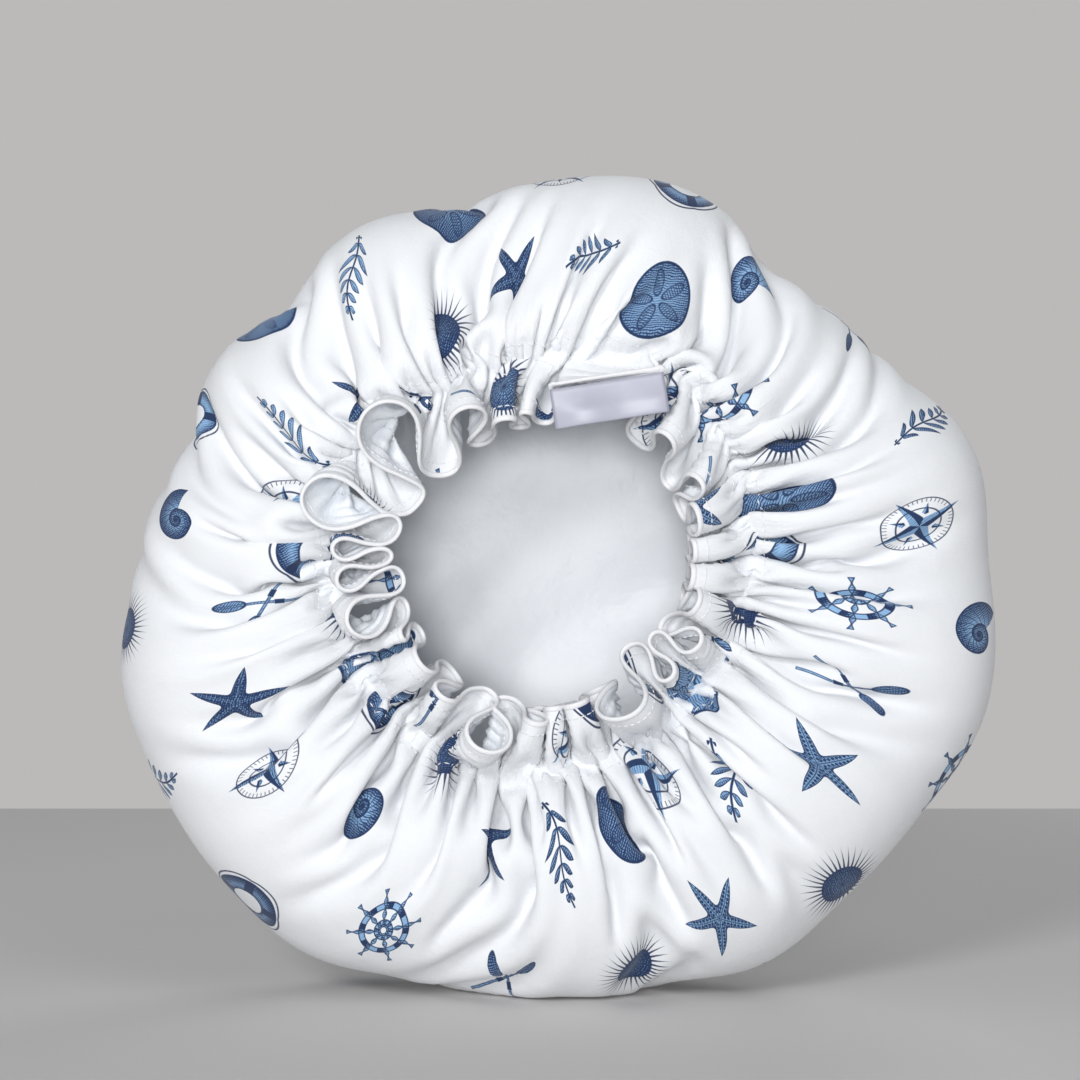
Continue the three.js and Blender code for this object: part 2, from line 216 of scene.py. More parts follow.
def smooth_profiles(angles):
    """The cap's profile at each angle without folds: points (samples, angles, 3), arc lengths."""
    turn_now = angles[None, :]
    rim = crown_radius * round_table(outline_shares, angles)[None, :]
    mid_depth = (top_half_depth + bottom_half_depth) / 2
    half_depth = mid_depth + (top_half_depth - bottom_half_depth) / 2 * np.sin(turn_now)
    mouth = mouth_radius * round_table(mouth_shares, angles)[None, :]
    c, s = np.cos(turn_now), np.sin(turn_now)

    def crown_place(radius, depth):
        return np.stack([radius * c, -depth + 0 * radius, radius * s], -1)

    def mouth_place(inset, depth):
        place = crown_place(mouth - inset, depth)
        place[..., 0] += mouth_centre[0]
        place[..., 2] += mouth_centre[1]
        return place

    share = np.linspace(0, 1, back_samples, endpoint=False)[:, None]
    back_depth = (mid_depth + back_dome) * (1 - share**2) + half_depth * share**2
    back = crown_place((rim - rim_bulge) * share, -back_depth)
    back[..., 0] += slack_centre[0] * (1 - share)
    back[..., 2] += slack_centre[1] * (1 - share)

    share = np.linspace(0, 1, edge_samples, endpoint=False)[:, None]
    heading = math.pi * (share - 0.5)
    edge = crown_place(rim - rim_bulge * (1 - np.cos(heading)), half_depth * np.sin(heading))

    share = np.linspace(0, 1, panel_samples, endpoint=False)[:, None]
    outer = crown_place(rim - rim_bulge, half_depth)
    inner = mouth_place(0 * turn_now, mouth_depth + 0 * turn_now)
    panel = outer * (1 - share[..., None]) + inner * share[..., None]
    level = half_depth * (1 - eased(share)) + mouth_depth * eased(share)
    panel[..., 1] = -(level + front_puff * np.sin(math.pi * share))

    share = np.linspace(0, 1, frill_samples)[:, None]
    flare = np.radians(round_table(frill_flare, angles))[None, :]
    curl = np.radians(round_table(frill_curl, angles))[None, :]
    heading = flare * np.minimum(1, share / flare_share)
    heading -= curl * eased((share - curl_share) / (1 - curl_share))
    step = channel_inset / (frill_samples - 1)

    def summed(part):
        return np.cumsum(np.vstack([0 * turn_now, (part[1:] + part[:-1]) / 2 * step]), 0)

    frill = mouth_place(summed(np.cos(heading)), mouth_depth + summed(np.sin(heading)))

    points = np.concatenate([back, edge, panel, frill], 0)
    steps = np.linalg.norm(np.diff(points, axis=0), axis=-1)
    arcs = np.concatenate([np.zeros((1, len(angles))), np.cumsum(steps, 0)])
    return points, arcs


def smooth_cap(flat, angles):
    """Places (rows, columns, 3) of the unfolded cap for flat radii; angles is (rows, columns)."""
    samples = columns
    grid = np.arange(samples) * full_turn / samples
    points, arcs = smooth_profiles(grid)
    table = np.zeros((len(flat), samples, 3))
    from_edge = disc_radius - flat
    spread = eased((from_edge - slack_from) / (disc_radius - slack_from))
    for j in range(samples):
        spare = arcs[-1, j] - disc_radius
        arc = arcs[-1, j] - from_edge - spare * spread
        for axis in range(3):
            table[:, j, axis] = np.interp(arc, arcs[:, j], points[:, j, axis])
    place = np.mod(angles, full_turn) / full_turn * samples
    i = np.floor(place).astype(int) % samples
    f = (place - np.floor(place))[..., None]
    row = np.arange(len(flat))[:, None]
    return table[row, i] * (1 - f) + table[row, (i + 1) % samples] * f


def spread_round(angles):
    """Angles in space of the cloth at the frill's edge, which is spread unevenly round it."""
    space = np.linspace(0, full_turn, 10 * columns + 1)
    held = np.clip(round_table(edge_fullness, space), least_fullness, most_fullness)
    cloth = np.concatenate([[0], np.cumsum((held[1:] + held[:-1]) / 2)])
    cloth *= full_turn / cloth[-1]
    middle = np.interp(math.radians(label_angle), space, cloth)
    offset = math.radians(label_angle) - middle
    return np.interp(np.mod(angles - offset, full_turn), cloth, space)


def directions(points):
    """Unit vectors along the rings and outwards from the cloth."""
    along = np.roll(points, -1, 1) - np.roll(points, 1, 1)
    inward = np.empty_like(points)
    inward[1:-1] = points[2:] - points[:-2]
    inward[0], inward[-1] = points[1] - points[0], points[-1] - points[-2]
    along /= np.linalg.norm(along, axis=-1, keepdims=True)
    out = np.cross(along, inward)
    return along, out / np.linalg.norm(out, axis=-1, keepdims=True)


def leaned(points):
    c, s = math.cos(-lean), math.sin(-lean)
    placed = points.copy()
    placed[..., 0] = points[..., 0] + frame_shift[0]
    placed[..., 1] = points[..., 1] * c - points[..., 2] * s + frame_shift[1]
    placed[..., 2] = points[..., 1] * s + points[..., 2] * c + floor_drop
    return placed


def folded_start():
    """The cloth at the start: pleats, lobes and puffs laid over the smooth cap by formula.

    Below, the marks of a table are distances inside the channel; the frill's are below zero.
    """
    chance = np.random.default_rng(3)
    angles = np.arange(columns) * full_turn / columns
    rows = int(round((disc_radius - still_radius) / ring_step)) + 1
    flat = np.linspace(still_radius, disc_radius, rows)
    past = flat - (disc_radius - channel_inset)  # distance past the channel, outwards
    warped = spread_round(angles)
    shift = np.interp(past, [-70, -30, 0, channel_inset], [0, 0.2, 0.45, 1])[:, None]
    delta = np.mod(warped - angles + math.pi, full_turn) - math.pi
    points = smooth_cap(flat, angles[None, :] + delta[None, :] * shift)
    span = np.linalg.norm(np.roll(points, -1, 1) - np.roll(points, 1, 1), axis=-1) / 2
    excess = np.clip((flat[:, None] * full_turn / columns) / span, 1.0, None)
    marks = [-28, 0, 15, 30, 60, 90, 120, 150, 200]
    kept = np.interp(-past, marks, [0.78, 0.85, 0.9, 0.75, 0.4, 0.12, 0.04, 0.01, 0])[:, None]
    marks = [-28, -20, -14, -8, 0, 8, 25, 50, 90, 120, 200]
    puff_share = np.interp(-past, marks, [0, 0, 0, 0, 0, 0.08, 0.3, 0.45, 0.6, 0.8, 1])[:, None]
    lobes = [1, 1, 0.92, 0.7, 0.34, 0.34, 0.42, 0.46, 0.36, 0.2, 0]
    lobe_share = np.interp(-past, marks, lobes)[:, None]
    pleat_share = 1 - puff_share - lobe_share
    wanted = 1 + (excess - 1) * kept
    marks = [-28, 30, 60, 90, 120, 200]
    puff_height = np.interp(-past, marks, [20, 13, 6.5, 3.5, 2.5, 2])[:, None]
    puff_length = flat[:, None] * full_turn / len(puff_creases)
    puffs = np.minimum(wanted**puff_share, 1 + (math.pi * puff_height / puff_length) ** 2)
    finer_folds = wanted ** (1 - puff_share)
    fit = (puffs * finer_folds / excess).mean(1)
    pleats = np.arange(pleat_count) * 360 / pleat_count
    pleats = np.sort((pleats + chance.uniform(-pleat_stray, pleat_stray, pleat_count)) % 360)
    creases_in_cloth = []
    for crease in lobe_creases:
        away = np.mod(warped - math.radians(crease) + math.pi, full_turn) - math.pi
        creases_in_cloth.append(math.degrees(angles[np.argmin(np.abs(away))]))
    waves = [
        (puff_creases, puffs, finer_folds),
        (np.sort(creases_in_cloth), wanted**lobe_share, wanted**pleat_share),
        (pleats, wanted**pleat_share, 1.0),
    ]
    meander = Meander()
    guide = points
    for creases, excess_here, finer in waves:
        count = crease_count(creases, angles)
        rise = (np.roll(count, -1) - np.roll(count, 1)) % len(creases)
        width = 2 * full_turn / columns / np.maximum(rise, 1e-6)
        length = (flat * fit)[:, None] * width[None, :] / finer
        along, out = directions(points)
        phase = np.broadcast_to(count[None, :], excess_here.shape)
        step_along, step_out = meander.shifts(excess_here, phase, length)
        points = points + along * step_along[..., None] + out * step_out[..., None]
        if creases is puff_creases:
            guide = points
        elif creases is not pleats:
            lobed = eased((past - lobes_from) / lobes_over)[:, None, None]
            guide = guide * (1 - lobed) + points * lobed
    channel_row = int(np.argmin(np.abs(past)))
    elastic = smooth_cap(flat[channel_row : channel_row + 1], angles[None, :])
    return flat, past, leaned(points), leaned(guide), leaned(elastic), fit


def as_layers(points):
    """(rows, columns, 3) to contiguous (3, rows, columns) in single precision."""
    return np.ascontiguousarray(np.transpose(points, (2, 0, 1)), dtype=np.float32)


def relax(a, b, rest, pull, push):
    """Moves the ends of threads towards their rest length; a and b are views of the points."""
    way = b - a
    length = np.sqrt(way[0] * way[0] + way[1] * way[1] + way[2] * way[2]) + 1e-6
    share = 1 - rest / length
    share *= np.where(share > 0, np.float32(pull), np.float32(push))
    way *= share
    a += way
    b -= way


class Cloth:
    """The folded part of the cloth as rings of points, settled by relaxing its threads."""

    def __init__(self, points, flat, fit):
        self.x = points
        self.rows, self.columns = points.shape[1:]
        turn_step = full_turn / self.columns
        fit_between = (fit[1:] + fit[:-1]) / 2
        across = flat[1:] * flat[:-1] * (fit_between * turn_step) ** 2
        self.ring = (flat * fit * turn_step)[:, None].astype(np.float32)
        self.ray = np.diff(flat)[:, None].astype(np.float32)
        self.bias = np.sqrt(np.diff(flat) ** 2 + across)[:, None].astype(np.float32)

    def relax_rings(self, pull, push):
        x = self.x
        relax(x[:, :, 0::2], x[:, :, 1::2], self.ring, pull, push)
        relax(x[:, :, 1:-1:2], x[:, :, 2::2], self.ring, pull, push)
        relax(x[:, :, -1], x[:, :, 0], self.ring[:, 0], pull, push)

    def neighbour_rings(self, rest):
        """Pairs of rings next to each other, first the even ones and then the odd, with rests."""
        for first in (0, 1):
            a = self.x[:, first : self.rows - 1 : 2]
            n = a.shape[1]
            yield a, self.x[:, first + 1 :: 2][:, :n], rest[first::2][:n]

    def relax_rays(self, pull, push):
        for a, b, rest in self.neighbour_rings(self.ray):
            relax(a, b, rest, pull, push)

    def relax_bias(self, pull, push):
        for a, b, rest in self.neighbour_rings(self.bias):
            relax(a[:, :, :-1], b[:, :, 1:], rest, pull, push)
            relax(a[:, :, -1], b[:, :, 0], rest[:, 0], pull, push)
            relax(a[:, :, 1:], b[:, :, :-1], rest, pull, push)
            relax(a[:, :, 0], b[:, :, -1], rest[:, 0], pull, push)

    def stiffen(self, round_share, ray_share):
        """Evens out sharp bends round the rings and along the rays."""
        x = self.x
        bend = np.roll(x, 1, 2) + np.roll(x, -1, 2) - 2 * x
        x -= round_share * (np.roll(bend, 1, 2) + np.roll(bend, -1, 2) - 2 * bend)
        bend = (x[:, 2:] - 2 * x[:, 1:-1] + x[:, :-2]) * ray_share[:, 1:-1]
        x[:, 1:-1] += 2 * bend
        x[:, 2:] -= bend
        x[:, :-2] -= bend

    def part_folds(self, distance, first_row, kin=2, firmness=0.7):
        """Pushes points apart, up to a least distance, unless they are kin, so many steps away."""
        x = self.x[:, first_row:].reshape(3, -1)
        n = x.shape[1]
        cell = np.floor(x / distance).astype(np.int64)
        cell -= cell.min(1, keepdims=True) - 1
        size = cell.max(1) + 2
        key = (cell[0] * size[1] + cell[1]) * size[2] + cell[2]
        order = np.argsort(key, kind="stable")
        key = key[order]
        first, second = [], []
        for dx in (0, 1):
            for dy in (0, 1) if dx == 0 else (-1, 0, 1):
                for dz in (0, 1) if (dx == 0 and dy == 0) else (-1, 0, 1):
                    jump = (dx * size[1] + dy) * size[2] + dz
                    if jump == 0:
                        low = np.arange(n) + 1
                    else:
                        low = np.searchsorted(key, key + jump, side="left")
                    count = np.searchsorted(key, key + jump, side="right") - low
                    for t in range(int(count.max())):
                        has = np.nonzero(count > t)[0]
                        first.append(order[has])
                        second.append(order[low[has] + t])
        a, b = np.concatenate(first), np.concatenate(second)
        apart = np.abs(a % self.columns - b % self.columns)
        apart = np.minimum(apart, self.columns - apart)
        strangers = (apart > kin) | (np.abs(a // self.columns - b // self.columns) > kin)
        a, b = a[strangers], b[strangers]
        way = x[:, b] - x[:, a]
        length = np.sqrt((way * way).sum(0)) + 1e-6
        near = length < distance
        a, b = a[near], b[near]
        way = way[:, near] * (0.5 * (distance - length[near]) / length[near])
        for axis in range(3):
            push = np.bincount(b, way[axis], n) - np.bincount(a, way[axis], n)
            x[axis] += firmness * push.astype(np.float32)
        self.x[:, first_row:] = x.reshape(3, -1, self.columns)

    def outwards(self):
        x = self.x
        along = np.roll(x, -1, 2) - np.roll(x, 1, 2)
        inward = np.empty_like(x)
        inward[:, 1:-1] = x[:, 2:] - x[:, :-2]
        inward[:, 0], inward[:, -1] = x[:, 1] - x[:, 0], x[:, -1] - x[:, -2]
        out = np.cross(along, inward, axis=0)
        return out / (np.sqrt((out * out).sum(0)) + 1e-9)


def slow_part(change, cut):
    """Keeps the part of a change that varies slowly round the rings; cut is one value a row."""
    waves = np.fft.rfft(change, axis=2)
    waves *= np.exp(-((np.arange(waves.shape[2])[None, None, :] / cut[None, :, None]) ** 2))
    return np.fft.irfft(waves, change.shape[2], axis=2).astype(np.float32)


def row_values(past, marks, values):
    """Values for the rows by their distance inside the channel (frill is below zero)."""
    return np.interp(-past, marks, values)[None, :, None].astype(np.float32)


def settled_cloth(steps):
    """The cloth after it has settled on the elastic under its weight: (rows, columns, 3) in mm."""
    flat, past, points, guide, elastic, fit = folded_start()
    cloth = Cloth(as_layers(points), flat, fit)
    guide, elastic = as_layers(guide), as_layers(elastic)
    channel_row = int(np.argmin(np.abs(past)))
    marks = [-28, -10, 0, 20, 60, 90, 130, 200]
    hold = row_values(past, marks, [0.05, 0.02, 0.02, 0.008, 0.012, 0.03, 0.03, 0.02])
    cut_marks = [-28, -12, 0, 20, 60, 90, 200]
    cut = row_values(past, cut_marks, [200, 120, 24, 24, 16, 14, 14])[0, :, 0]
    round_share = row_values(past, marks, [0.06, 0.03, 0.006, 0.03, 0.04, 0.04, 0.04, 0.04])
    ray_share = row_values(past, marks, [0.1, 0.1, 0.02, 0.04, 0.04, 0.04, 0.04, 0.04])
    puff = row_values(past, [-30, -5, 10, 60, 120, 200], [0, 0, 0.7, 1, 1, 0.7])
    puff *= np.float32(puff_push)
    weight = np.array([0, 0, -weight_push], np.float32)[:, None, None]
    pinned = cloth.x[:, 0].copy()
    speed = np.zeros_like(cloth.x)
    label_column = int(round(math.radians(label_angle) / full_turn * columns))
    reach = np.arange(columns) - label_column
    along_edge = reach * float(cloth.ring[-1, 0])
    sewn = np.nonzero(np.abs(along_edge) <= label_width / 2 + seam_spare)[0]
    seam = label_pivot + np.array([0, edge_behind_pivot, edge_above_pivot])
    seam = seam[:, None] - label_axis[:, None] * along_edge[sewn][None, :]
    seam = seam.astype(np.float32)
    for step in range(steps):
        before = cloth.x.copy()
        growing = np.float32(min(1, step / push_grows))
        if step % guide_every == 0:
            out = cloth.outwards()
            cloth.x += slow_part(guide - cloth.x, cut) * hold * guide_every
        cloth.x += speed * np.float32(speed_kept) + (weight + out * puff) * growing
        cloth.stiffen(round_share, ray_share)
        for _ in range(relaxings):
            cloth.relax_rings(*ring_firmness)
            cloth.relax_rays(*ray_firmness)
            cloth.relax_bias(*bias_firmness)
        off = cloth.x[:, channel_row : channel_row + 1] - elastic
        length = np.sqrt((off * off).sum(0)) + 1e-6
        too_far = np.maximum(0, 1 - fold_reach / length)
        cloth.x[:, channel_row : channel_row + 1] -= off * (too_far * 0.5 + 0.01)
        cloth.x[:, -1, sewn] += (seam - cloth.x[:, -1, sewn]) * min(1.0, 0.02 + step / seam_closes)
        np.maximum(cloth.x[2], floor_gap, out=cloth.x[2])
        cloth.x[:, 0] = pinned
        if step % part_every == part_every - 1:
            cloth.part_folds(fold_spacing, channel_row - rows_parted)
        speed = cloth.x - before
        size = np.sqrt((speed * speed).sum(0)) + 1e-6
        speed *= np.minimum(1, longest_move / size)
    return flat, np.transpose(cloth.x, (1, 2, 0)).astype(float)


mm = 0.001

# Sizes of the finished pieces, in millimetres
edge_roll = 0.95  # radius of the rolled seam at the frill's edge
cloth_offset = 0.45  # each cloth from the middle of the two
elastic_offset = 0.95  # the same, over the elastic
offset_ease = 2.5  # beside the elastic, where the one offset turns into the other
elastic_width = 7.0
elastic_half_thickness = 0.32
channel_half_width = 6.3
edge_stitch_inset = 4.6
stitch_spacing = 3.1
stitch_half_size = (1.15, 0.27, 0.24)
stitch_rise = 0.02  # how far a stitch's middle lies above the cloth
label_drop = 13.2  # from the pivot to the fold at the bottom
label_half_gap = 0.42  # each half of the folded tape from the middle
label_above_pivot = 0.6
tape_thickness = 0.28
map_width = 2 * disc_radius + 24  # flat cloth across one width of the UV map
label_map_width = 60
back_rings = 25  # in the table of places of the back that isn't folded

# Rings of faces of the cut disc: the first one, then a spacing up to each radius
first_facets, first_radius = 45, 7.0
ring_spacings = [(still_radius, 6), (238, 3.4), (262, 2.4), (disc_radius, 1.6)]
doubling_radii = [14, 28, 56, 97, 237]
band_facets = 1440


def cut_disc():
    """The flat round cloth: rings of faces that double in number outwards, up to the cut edge."""
    disc = bmesh.new()
    bmesh.ops.create_circle(disc, cap_ends=True, segments=first_facets, radius=first_radius)
    outer = list(disc.edges)
    rings = [first_radius]
    for limit, spacing in ring_spacings:
        count = int(round((limit - rings[-1]) / spacing))
        rings += list(np.linspace(rings[-1], limit, count + 1)[1:])
    doubled_at = list(doubling_radii)
    for radius in rings[1:]:
        if doubled_at and radius > doubled_at[0]:
            bmesh.ops.subdivide_edges(disc, edges=outer, cuts=1)
            outer = [e for e in disc.edges if e.is_boundary]
            doubled_at.pop(0)
        made = bmesh.ops.extrude_edge_only(disc, edges=outer)
        outer = [e for e in made["geom"] if isinstance(e, bmesh.types.BMEdge)]
        outer = [e for e in outer if e.is_boundary]
        for vert in {v for e in outer for v in e.verts}:
            vert.co *= radius / vert.co.length
    return disc


def curve_weights(place):
    """The four neighbours' weights of a smooth curve through evenly spaced values."""
    f = (place - np.floor(place))[:, None]
    return (
        0.5 * (-f + 2 * f**2 - f**3),
        0.5 * (2 - 5 * f**2 + 3 * f**3),
        0.5 * (f + 4 * f**2 - 3 * f**3),
        0.5 * (f**3 - f**2),
    )


class FinishedCap:
    """Tells where a point of the flat cloth lies on the finished cap."""

    def __init__(self):
        self.flat, self.folds = settled_cloth(settling_steps)
        wrinkled_to, faded_over = 110, 60
        fade = 1 - eased((self.flat - wrinkled_to) / faded_over)
        self.folds[..., 1] += self.wrinkle(self.folds) * fade[:, None]
        self.back = self.still_back()

    def wrinkle(self, points):
        """Soft slanting wrinkles of the slack back, as a shift of its depth in millimetres."""
        slant = points[..., 0] * 0.55 - points[..., 2] * 0.84
        along = points[..., 0] * 0.84 + points[..., 2] * 0.55
        broad = 3.6 * np.sin(slant / 13 + 1.3 * np.sin(along / 37)) * np.cos(along / 61 + 0.7)
        return broad + 1.8 * np.sin(slant / 8.5 - 0.9 * np.sin(along / 25 + 2))

    def still_back(self):
        """The back, which isn't folded: a low dome with soft slanting wrinkles."""
        rings = np.linspace(0, still_radius, back_rings)
        turns = np.arange(columns) * full_turn / columns
        dome = leaned(smooth_cap(rings, np.broadcast_to(turns, (back_rings, columns))))
        share = (rings / still_radius)[:, None]
        dome[..., 1] += self.wrinkle(dome)
        return dome + (self.folds[0] - dome[-1]) * share[..., None] ** 4

    def on_folds(self, radius, angle):
        place = np.mod(angle, full_turn) / full_turn * columns
        row_place = (radius - self.flat[0]) / (self.flat[1] - self.flat[0])
        row_place = np.clip(row_place, 0, len(self.flat) - 1.0001)
        column, row = np.floor(place).astype(int), np.floor(row_place).astype(int)
        result = np.zeros((len(radius), 3))
        for i, down in enumerate(curve_weights(row_place)):
            line = row + i - 1
            inner = np.clip(line, 0, len(self.flat) - 1)
            for j, across in enumerate(curve_weights(place)):
                at = (column + j - 1) % columns
                value = self.folds[inner, at]
                past = (line > inner)[:, None]
                value = np.where(past, 2 * self.folds[-1, at] - self.folds[-2, at], value)
                result += down * across * value
        return result

    def on_back(self, radius, angle):
        place = np.mod(angle, full_turn) / full_turn * columns
        column = np.floor(place).astype(int)
        f = (place - column)[:, None]
        last = back_rings - 1
        row_place = np.clip(radius / still_radius * last, 0, last - 0.0001)
        row = row_place.astype(int)
        g = (row_place - row)[:, None]
        here, after = column % columns, (column + 1) % columns
        low = self.back[row, here] * (1 - f) + self.back[row, after] * f
        high = self.back[row + 1, here] * (1 - f) + self.back[row + 1, after] * f
        return low * (1 - g) + high * g

    def places(self, radius, angle):
        radius, angle = np.asarray(radius, float), np.asarray(angle, float)
        result = np.zeros((len(radius), 3))
        folded = radius >= still_radius
        result[folded] = self.on_folds(radius[folded], angle[folded])
        result[~folded] = self.on_back(radius[~folded], angle[~folded])
        return result

    def frames(self, radius, angle):
        """Places with unit vectors round the ring, towards the cut edge and out of the cloth."""
        radius, angle = np.asarray(radius, float), np.asarray(angle, float)
        ray_step = 0.4
        turn_step = ray_step / disc_radius
        round_way = self.places(radius, angle + turn_step) - self.places(radius, angle - turn_step)
        further = np.minimum(radius + ray_step, disc_radius)
        edge_way = self.places(further, angle) - self.places(further - 2 * ray_step, angle)
        round_way /= np.linalg.norm(round_way, axis=1, keepdims=True) + 1e-9
        out_way = np.cross(round_way, edge_way)
        out_way /= np.linalg.norm(out_way, axis=1, keepdims=True) + 1e-9
        edge_way = np.cross(out_way, round_way)
        return self.places(radius, angle), round_way, edge_way, out_way


def offset_at(radius):
    """How far each cloth lies from the middle of the two: more over the elastic."""
    from_elastic = np.abs(radius - (disc_radius - channel_inset))
    over = 1 - eased((from_elastic - elastic_width / 2) / offset_ease)
    return cloth_offset + (elastic_offset - cloth_offset) * over


def finished_mesh(name, made):
    mesh_data = bpy.data.meshes.new(name)
    made.to_mesh(mesh_data)
    made.free()
    return mesh_data


def add_object(name, data):
    holder = bpy.data.objects.new(name, data)
    bpy.context.collection.objects.link(holder)
    return holder


def add_piece(name, mesh_data, material, body="cap"):
    piece = add_object(name, mesh_data)
    piece.data.materials.append(material)
    piece.data.polygons.foreach_set("use_smooth", [True] * len(piece.data.polygons))
    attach(piece, body)
    return piece


def flat_places(mesh_data):
    co = np.empty(len(mesh_data.vertices) * 3)
    mesh_data.vertices.foreach_get("co", co)
    co = co.reshape(-1, 3)
    return np.hypot(co[:, 0], co[:, 1]), np.arctan2(co[:, 1], co[:, 0]), co


def map_flat_cloth(mesh_data, co):
    """Keeps the flat cloth as the UV map, so that print and weave follow the cloth."""
    corners = np.empty(len(mesh_data.loops), np.int32)
    mesh_data.loops.foreach_get("vertex_index", corners)
    uv = co[corners][:, :2] / map_width + 0.5
    layer = mesh_data.uv_layers.new(name="flat_cloth")
    layer.data.foreach_set("uv", uv.astype(np.float32).ravel())


def sheet_of_cloth(name, cap, side, material):
    """One of the two cloths, gathered: side is 1 for the outer shell and -1 for the lining."""
    disc = cut_disc()
    bmesh.ops.recalc_face_normals(disc, faces=disc.faces)
    if disc.faces[0].normal.z * side > 0:
        bmesh.ops.reverse_faces(disc, faces=disc.faces)
    mesh_data = finished_mesh(name, disc)
    radius, angle, co = flat_places(mesh_data)
    map_flat_cloth(mesh_data, co)
    place, _, _, out = cap.frames(radius, angle)
    place += out * (side * offset_at(radius))[:, None]
    mesh_data.vertices.foreach_set("co", (place * mm).ravel())
    mesh_data.update()
    return add_piece(name, mesh_data, material)


def band_round(name, cap, radius, section, material):
    """A closed band along one ring of the cloth; section lists (towards the edge, outwards)."""
    angle = np.arange(band_facets) * full_turn / band_facets
    band = bmesh.new()
    loops = []
    for ahead, rise in section:
        on_cloth = min(radius + ahead, disc_radius)
        place, _, edge_way, out = cap.frames(np.full(band_facets, on_cloth), angle)
        skin = (place + edge_way * (radius + ahead - on_cloth) + out * rise) * mm
        verts = [band.verts.new(co) for co in skin]
        loops.append([band.edges.new(pair) for pair in zip(verts, verts[1:] + verts[:1])])
    for loop, after in zip(loops, loops[1:] + loops[:1]):
        bmesh.ops.bridge_loops(band, edges=loop + after)
    bmesh.ops.recalc_face_normals(band, faces=band.faces)
    return add_piece(name, finished_mesh(name, band), material)


def rolled_edge(cap, material):
    """The seam where the two cloths were turned, as a soft roll along the frill's edge."""
    facets, wider, flatter = 8, 1.2, 0.85
    turns = np.arange(facets) * full_turn / facets
    section = [(wider * edge_roll * math.cos(t), flatter * edge_roll * math.sin(t)) for t in turns]
    return band_round("rolled_edge", cap, disc_radius - edge_roll * 0.5, section, material)


def elastic_band(cap, material):
    half, thick = elastic_width / 2, elastic_half_thickness
    below, above = ([(ahead, rise) for ahead in (-half, 0, half)] for rise in (-thick, thick))
    section = below + above[::-1]
    return band_round("elastic_webbing", cap, disc_radius - channel_inset, section, material)


def stitch_row(name, cap, radius, side, material):
    """A row of thread stitches round the cloth, sunk a little into it."""
    row = bmesh.new()
    count = int(full_turn * radius / stitch_spacing)
    angle = (np.arange(count) + 0.5) * full_turn / count
    place, round_way, edge_way, out = cap.frames(np.full(count, radius), angle)
    place = place + out * (side * (offset_at(np.array([radius]))[0] + stitch_rise))
    for i in range(count):
        ways = Matrix((round_way[i], edge_way[i], out[i])).transposed().to_4x4()
        size = Matrix.Diagonal((*(half * mm for half in stitch_half_size), 1))
        middle = Matrix.Translation(place[i] * mm)
        bmesh.ops.create_icosphere(row, subdivisions=1, radius=1.0, matrix=middle @ ways @ size)
    return add_piece(name, finished_mesh(name, row), material)


def folded_label(material):
    """The satin tape, folded in half at the bottom and sewn in by its two ends at the top."""
    steps, straight_points, row_height, bend_steps, bend_above_fold = 32, 11, 1.2, 6, 0.4
    heights = [label_above_pivot - row_height * i for i in range(straight_points)]
    tape = bmesh.new()
    profile = [(-label_half_gap, u) for u in heights]
    for i in range(bend_steps + 1):
        c, s = (part(math.pi * i / bend_steps) for part in (math.cos, math.sin))
        profile.append((-label_half_gap * c, -label_drop + bend_above_fold - label_half_gap * s))
    profile += [(label_half_gap, u) for u in reversed(heights)]
    verts = [tape.verts.new((-label_width / 2, t, u)) for t, u in profile]
    edges = [tape.edges.new(pair) for pair in zip(verts, verts[1:])]
    for _ in range(steps):
        made = bmesh.ops.extrude_edge_only(tape, edges=edges)["geom"]
        edges = [e for e in made if isinstance(e, bmesh.types.BMEdge)]
        fresh = [v for v in made if isinstance(v, bmesh.types.BMVert)]
        bmesh.ops.translate(tape, verts=fresh, vec=(label_width / steps, 0, 0))
        edges = [e for e in edges if all(v in fresh for v in e.verts)]
    layer = tape.loops.layers.uv.new("flat_cloth")
    for face in tape.faces:
        for loop in face.loops:
            x, t, u = loop.vert.co
            run = -u if t < 0 else 2 * label_drop + u
            loop[layer].uv = (x / label_map_width + 0.5, run / label_map_width + 0.2)
    across = Vector(label_axis)
    inwards = Vector((0, 0, 1)).cross(across).normalized()
    upwards = across.cross(inwards)
    for vert in tape.verts:
        x, t, u = vert.co
        share = 2 * x / label_width
        hanging = min(1, u * u / 64 if u < 0 else 0)  # full from 8 mm below the pivot
        bow = (-1.3 * (1 - share * share) + 0.7 * math.sin(4.3 * share + 0.6)) * hanging
        belly = -0.25 * math.sin(math.pi * min(1, max(0, -u / label_drop))) * (1 if t < 0 else 0)
        place = across * x + inwards * (t + bow + belly) + upwards * u
        vert.co = (Vector(label_pivot) + place) * mm
    bmesh.ops.recalc_face_normals(tape, faces=tape.faces)
    label = add_piece("satin_label", finished_mesh("satin_label", tape), material, body="label")
    thickness = label.modifiers.new("tape", "SOLIDIFY")
    thickness.thickness = tape_thickness * mm
    thickness.offset = 0
    return label


def set_inputs(node, **values):
    """Sets a node's inputs; an underscore in a name stands for a space."""
    for label, value in values.items():
        node.inputs[label.replace("_", " ")].default_value = value


